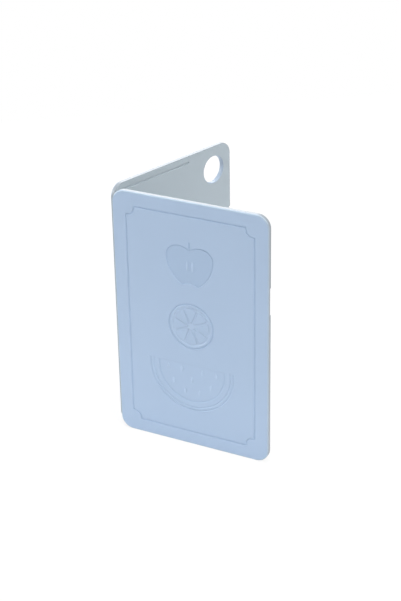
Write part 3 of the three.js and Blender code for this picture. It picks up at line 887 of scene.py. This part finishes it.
# %% Melon slice
MELON_RADIUS = 38 * MM
MELON_LINE = 1.2 * MM
MELON_FLESH = MELON_RADIUS - 7.3 * MM
RIND_LINE = 0.9 * MM
RIND_LINE_RADIUS = MELON_RADIUS - 2.9 * MM
MELON_CHORD = 3.8 * MM
MELON_Y = FRAME_BOTTOM + 21.3 * MM + MELON_RADIUS
MELON_FLOOR = OUTER_FACE - 0.2 * MM
MELON_LINE_FLOOR = OUTER_FACE - 0.4 * MM
MELON_WALL = wall_section(OUTER_FACE, MELON_LINE_FLOOR, outside=0.35 * MM, inside=0.40 * MM)
FLESH_WALL = wall_section(OUTER_FACE, MELON_FLOOR, outside=0.50 * MM)


def melon_arc(radius, chord=MELON_CHORD):
    start = math.asin(chord / radius)
    return arc((FIGURE_X, MELON_Y), radius, start, -math.pi - start, 120)


flesh_line = line_outline(melon_arc(MELON_FLESH - FIELD_LINE, MELON_CHORD - FIELD_LINE), FIELD_LINE)
melon = [
    sunk("flesh", melon_arc(MELON_FLESH), section=FLESH_WALL),
    sunk("flesh_line", flesh_line, passes=0, section=wall_section(MELON_FLOOR, MELON_LINE_FLOOR), finish=FLOOR),
    sunk("melon_line", line_outline(melon_arc(MELON_RADIUS), MELON_LINE), passes=0, section=MELON_WALL),
    sunk("rind_line", line_outline(melon_arc(RIND_LINE_RADIUS), RIND_LINE), passes=0, section=MELON_WALL),
]
print("melon middle in mm:", round(MELON_Y / MM, 1))

# %% Citrus wheel
CITRUS_RADIUS = 19.9 * MM
CITRUS_LINE = 1.2 * MM
CITRUS_RIND = 1.5 * MM
CITRUS_DISC = CITRUS_RADIUS - CITRUS_LINE / 2 - CITRUS_RIND
CITRUS_GAP = 1.7 * MM  # between the rind and the segments
CITRUS_SEGMENTS = 8
CITRUS_MEMBRANE = 1.5 * MM
CITRUS_CORE = 2.2 * MM
SEGMENT_ROUND = 2.4 * MM
SEGMENT_TIP = 0.42 * MM  # a round that is wider than the wall's reach into a segment
CITRUS_FLOOR = OUTER_FACE - 0.48 * MM
CITRUS_WALL = wall_section(OUTER_FACE, CITRUS_FLOOR, outside=0.10 * MM, inside=0.60 * MM)
SEGMENT_WALL = wall_section(OUTER_FACE, CITRUS_FLOOR, outside=0.30 * MM, inside=0.22 * MM)
SEGMENT_SPACING = 0.25 * MM
CITRUS_CENTRE = (FIGURE_X, (APPLE_BASE + MELON_Y + MELON_CHORD) / 2)


def segment_outline():
    reach = CITRUS_DISC - CITRUS_GAP
    shoulder = reach - SEGMENT_ROUND

    def half_angle(radius):
        return math.pi / CITRUS_SEGMENTS - math.asin(CITRUS_MEMBRANE / 2 / radius)

    def at(radius, angle):
        return polar(CITRUS_CENTRE, radius, angle)

    rim = half_angle(reach) - SEGMENT_ROUND / reach
    low = bend(at(shoulder, -half_angle(shoulder)), at(reach, -half_angle(reach)), at(reach, -rim))
    high = bend(at(reach, rim), at(reach, half_angle(reach)), at(shoulder, half_angle(shoulder)))
    outer = arc(CITRUS_CENTRE, reach, -rim, rim)
    along, up = at(shoulder, half_angle(shoulder)) - at(CITRUS_CORE, 0.0)
    lean = math.atan2(up, along)
    tip_centre = at(CITRUS_CORE + SEGMENT_TIP / math.sin(lean), 0.0)
    tip = arc(tip_centre, SEGMENT_TIP, QUARTER + lean, 3 * QUARTER - lean, 8)
    return np.concatenate((tip, low, outer[1:-1], high))


def wheel_ring(radius):
    return arc(CITRUS_CENTRE, radius, 0, 2 * math.pi, 180)[:-1]


WHEEL = {"repeats": CITRUS_SEGMENTS, "centre": CITRUS_CENTRE}
# The disc's wall and floor are paler with painted highlight; the segment walls are darker with painted shade.
citrus = [
    sunk("wheel_line_outside", wheel_ring(CITRUS_RADIUS + CITRUS_LINE / 2), passes=0),
    sunk("wheel_line_inside", wheel_ring(CITRUS_RADIUS - CITRUS_LINE / 2), passes=0, inside=False),
    sunk("wheel_disc", wheel_ring(CITRUS_DISC), passes=0, section=CITRUS_WALL, finish=BRIGHT),
    sunk("wheel_segments", segment_outline(), SEGMENT_SPACING, 0, SEGMENT_WALL, False, SHADED, **WHEEL),
]
print("citrus middle in mm:", round(CITRUS_CENTRE[1] / MM, 1))

# %% Front leaf together
# The rim is three strips with painted shade, darkest and greyest on the end with the small round on the
# cutting face, and lighter over the two halves of the round on the outer face, palest towards the face.
LEAF_OUTLINE = rounded_leaf(HINGE_SETBACK, 0, LEAF_WIDTH, LEAF_HEIGHT, CORNER_RADIUS)


def leaf_rim():
    section = edge_section(INNER_BREAK, OUTER_ROUND, 1)
    end, middle = ROUND_STEPS + 1, ROUND_STEPS * 3 // 2 + 1
    strips = ((section[: end + 1], RIM), (section[end : middle + 1], ROUND), (section[middle:], PALE))
    return [(swept("rim", LEAF_OUTLINE, strip, RIM_SPACING, FINISHES[finish]), finish) for strip, finish in strips]


front_grooves = [groove("front_lower_groove", lower_run), groove("front_upper_groove", front_upper_run)]
# The floors of the lines and the apple are darker with painted shade, and the citrus floor is paler with painted
# highlight.
line_levels = [(FRAME_FLOOR, FLOOR), (LINE_FLOOR, FLOOR), (MELON_LINE_FLOOR, FLOOR)]
field_levels = [(APPLE_FLOOR, FLOOR), (MELON_FLOOR, FACE), (CITRUS_FLOOR, BRIGHT)]
cutting_levels = [(INNER_FACE, CUTTING), (JUICE_FLOOR, CUTTING)]
front_leaf = leaf_mesh(
    "front_leaf_skin",
    FRONT,
    leaf_rim() + front_grooves + frame_line + apple + melon + citrus,
    [(OUTER_FACE, FACE)] + line_levels + field_levels + cutting_levels,
)
cut_scoop(front_leaf, FRONT)

# %% [markdown]
# ## Rear leaf
#
# The rear leaf turns its cutting face to the camera. Its upper free corner has the hanging hole, and its
# outer face is plain. A boolean with a cylinder would leave the hole's edges sharp, so the wall of the hole
# is one more swept section, with a round on either side.

# %% Rear leaf together
hole_path = arc(HOLE_CENTRE, HOLE_RADIUS, 0, 2 * math.pi, 120)[:-1]
# The wall of the hole is darker and greyer with painted shade.
hole_wall = swept("hole", hole_path, edge_section(HOLE_RIM, HOLE_RIM, -1), WALL_SPACING, ROUND_PAINTED_SHADE), ROUND
rear_grooves = [groove("rear_lower_groove", lower_run), groove("rear_upper_groove", rear_upper_run)]
rear_leaf = leaf_mesh(
    "rear_leaf_skin",
    REAR,
    leaf_rim() + [hole_wall] + rear_grooves,
    [(OUTER_FACE, FACE)] + cutting_levels,
)
cut_scoop(rear_leaf, REAR)

# %% [markdown]
# ## Pips
#
# The melon has two bowed rows of pips and the apple two by its core: small domes that stand on the sunk
# floors and rise a little above the face, paler than the face with a painted highlight. Each could be placed by
# hand, but they repeat along an arc, so one tree with named inputs makes every row: an arc with as many
# points as pips, and a squashed sphere on each.

# %% Pip row tree
PIPS, PIP_SOCKETS, pip_source = new_tree(
    "pip_row",
    (
        ("Count", "Int"),
        ("Row Radius", "Float"),
        ("First Angle", "Float"),
        ("Sweep Angle", "Float"),
        ("Centre", "Vector"),
        ("Pip Size", "Vector"),
        ("Finish", "Material"),
    ),
)


def domes_on_arc(tree, source):
    nodes, links = tree.nodes, tree.links
    row = nodes.new("GeometryNodeCurveArc")
    links.new(source.outputs["Count"], row.inputs["Resolution"])
    links.new(source.outputs["Row Radius"], row.inputs["Radius"])
    links.new(source.outputs["First Angle"], row.inputs["Start Angle"])
    links.new(source.outputs["Sweep Angle"], row.inputs["Sweep Angle"])
    placed = nodes.new("GeometryNodeTransform")
    links.new(row.outputs["Curve"], placed.inputs["Geometry"])
    links.new(source.outputs["Centre"], placed.inputs["Translation"])
    dome = nodes.new("GeometryNodeMeshUVSphere")
    dome.inputs["Segments"].default_value = 24
    dome.inputs["Rings"].default_value = 16
    dome.inputs["Radius"].default_value = 1.0
    pips = nodes.new("GeometryNodeInstanceOnPoints")
    links.new(placed.outputs["Geometry"], pips.inputs["Points"])
    links.new(dome.outputs["Mesh"], pips.inputs["Instance"])
    links.new(source.outputs["Pip Size"], pips.inputs["Scale"])
    return pips.outputs["Instances"]


end_tree(PIPS, pip_source, domes_on_arc(PIPS, pip_source))
print("pip row inputs:", list(PIP_SOCKETS))

# %% Rows of pips
PIP_RISE = 0.25 * MM  # above the face
MELON_PIP = (1.1 * MM, 2.7 * MM)  # half its width and half its length
APPLE_PIP = (0.95 * MM, 4.55 * MM)
APPLE_PIP_OFFSET = 2.3 * MM
APPLE_PIP_Y = APPLE_BASE + 17.6 * MM
PIP_LEAN = 1.4 * MM
FIRST_ROW = MELON_FLESH - 8.7 * MM
SECOND_ROW = FIRST_ROW - 12.5 * MM
PIP_ROWS = (
    # name, count, radius of the row, lean below the middle, centre, size, floor that they stand on
    ("melon_first_row", 6, FIRST_ROW, PIP_LEAN, (FIGURE_X, MELON_Y), MELON_PIP, MELON_FLOOR),
    ("melon_second_row", 3, SECOND_ROW, PIP_LEAN, (FIGURE_X, MELON_Y), MELON_PIP, MELON_FLOOR),
    ("apple_pair", 2, APPLE_PIP_OFFSET, 0.0, (FIGURE_X, APPLE_PIP_Y), APPLE_PIP, APPLE_FLOOR),
)


def pip_row(name, count, radius, lean, centre, size, floor):
    first = -math.pi + lean / radius
    values = {"Count": count, "Row Radius": radius, "First Angle": first, "Sweep Angle": -2 * lean / radius + math.pi}
    dome = (*size, OUTER_FACE + PIP_RISE - floor)
    values |= {"Centre": (*centre, floor), "Pip Size": dome, "Finish": RELIEF_PAINTED_HIGHLIGHT}
    return nodes_mesh(name, PIPS, PIP_SOCKETS, values)


def joined(name, meshes, place, finish):
    points, faces = np.zeros((0, 3)), []
    for more_points, more_faces in meshes:
        faces += [tuple(len(points) + i for i in face) for face in more_faces]
        points = np.concatenate((points, more_points))
    mesh = bpy.data.meshes.new(name)
    mesh.from_pydata(place(points).tolist(), [], faces)
    mesh.materials.append(finish)
    work = bmesh.new()
    work.from_mesh(mesh)
    bmesh.ops.recalc_face_normals(work, faces=work.faces)
    for face in work.faces:
        face.smooth = True
    work.to_mesh(mesh)
    work.free()
    piece = bpy.data.objects.new(name, mesh)
    scene.collection.objects.link(piece)
    return piece


def on_front_leaf(points):
    return stand_up(points, FRONT)


pips = joined("fruit_pips", [pip_row(*row) for row in PIP_ROWS], on_front_leaf, RELIEF_PAINTED_HIGHLIGHT)
print("pip faces:", len(pips.data.polygons))

# %% [markdown]
# ## Film hinge
#
# The film is the same plastic, thinned to about half a millimetre so that it can bend many thousand times.
# It runs between the hinge edges, bowed a little by the fold, with its ends inside both leaves. A flat box
# would look right only with the board opened flat. So a bowed section is swept along the hinge by the same
# tree.

# %% Film
FILM_HALF = 0.22 * MM
FILM_BOW = 0.25 * MM
FILM_ANCHOR = 0.35 * MM  # how far its ends reach into the leaves
FILM_STEPS = 16
FILM_SPACING = 4 * MM


def film_section():
    """Closed section in (towards the opening, across the hinge), about the hinge axis."""
    middle = INNER_FACE + FILM_HALF
    ends = stand_up([(HINGE_SETBACK + FILM_ANCHOR, 0, middle)], REAR)[0]
    reach, across = ends[0] - HINGE.x, ends[1] - HINGE.y
    v = np.linspace(-1, 1, FILM_STEPS + 1)
    x = reach - FILM_BOW * (1 - v * v) * 2
    y = across * v
    slope = np.arctan2(np.gradient(y), np.gradient(x))
    normal = np.stack((-np.sin(slope), np.cos(slope)), axis=1) * FILM_HALF
    line = np.stack((x, y), axis=1)
    return np.concatenate((line + normal, (line - normal)[::-1]))


FILM_PATH = np.column_stack((np.zeros(2), (CORNER_RADIUS, LEAF_HEIGHT - CORNER_RADIUS)))
FILM_FINISH = plastic("flexed_film", (0.41, 0.525, 0.67), (0.45, 0.565, 0.70), 0.42, 0.32, 0.008 * MM, 2400)


def stand_film(points):
    return points[:, [0, 2, 1]] * (-1, 1, 1) + (HINGE.x, HINGE.y, cad_low.z)


film_parts = swept("film", FILM_PATH, film_section(), FILM_SPACING, FILM_FINISH, closed=False)
film = joined("hinge_film_skin", [film_parts], stand_film, FILM_FINISH)
print("film box in mm:", [round(v / MM, 2) for v in film.dimensions])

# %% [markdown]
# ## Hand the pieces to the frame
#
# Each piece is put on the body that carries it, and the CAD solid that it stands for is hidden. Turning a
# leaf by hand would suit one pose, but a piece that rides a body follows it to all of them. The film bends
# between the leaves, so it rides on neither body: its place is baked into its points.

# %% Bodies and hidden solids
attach(front_leaf, "front")
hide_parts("front_leaf")
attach(pips, "front")
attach(rear_leaf, "rear")
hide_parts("rear_leaf")
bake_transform(film)
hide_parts("hinge_film")
print("pieces handed over:", [piece.name for piece in (front_leaf, rear_leaf, pips, film)])
